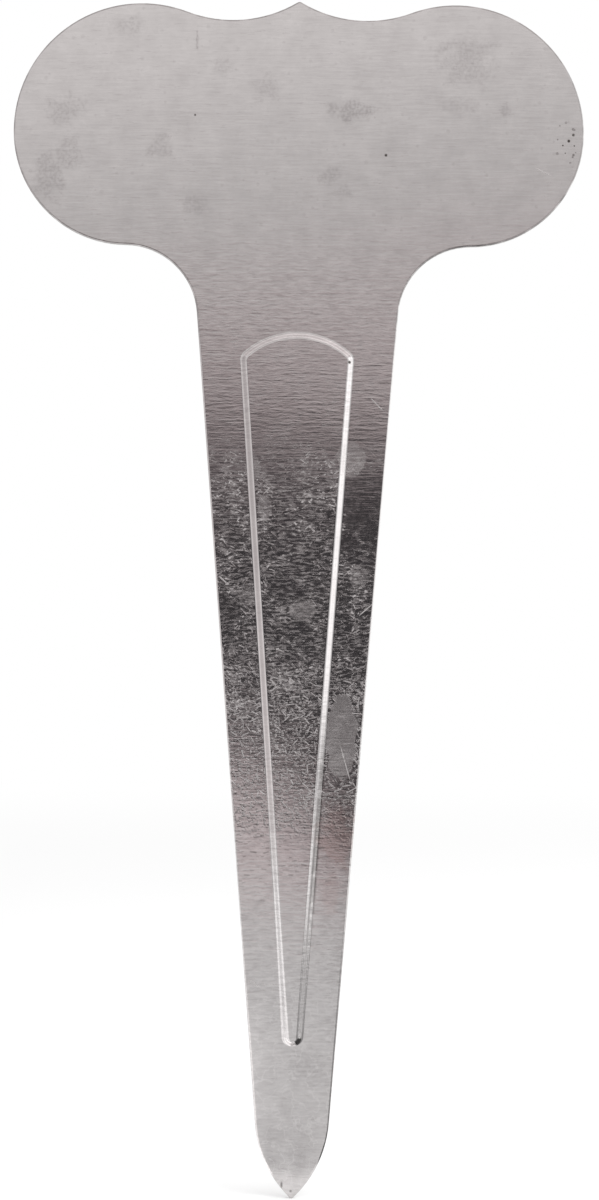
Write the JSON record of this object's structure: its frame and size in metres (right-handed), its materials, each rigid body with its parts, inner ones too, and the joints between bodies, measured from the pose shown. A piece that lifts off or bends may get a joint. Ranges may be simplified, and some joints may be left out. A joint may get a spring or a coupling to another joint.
{
  "type": "plant label stake",
  "caption": "Stamped sheet-metal plant label with a two-lobed writing head on a tapered blade, which has a pressed stiffening panel and a point to push into soil.",
  "frame": {"origin": "point of the blade, in the middle of the sheet's thickness", "axes": "+Z from the point up to the head, +X across the head to the right as seen from the front, front face with the raised panel towards -Y"},
  "size_m": [0.0716, 0.0012, 0.15],
  "materials": {
    "bare_sheet": "bare rolled sheet with fine lines across the stake, light scratches, dull smudges and a few dark specks"
  },
  "bodies": {
    "root": {"label_stake": "bare_sheet"}
  },
  "joints": []
}
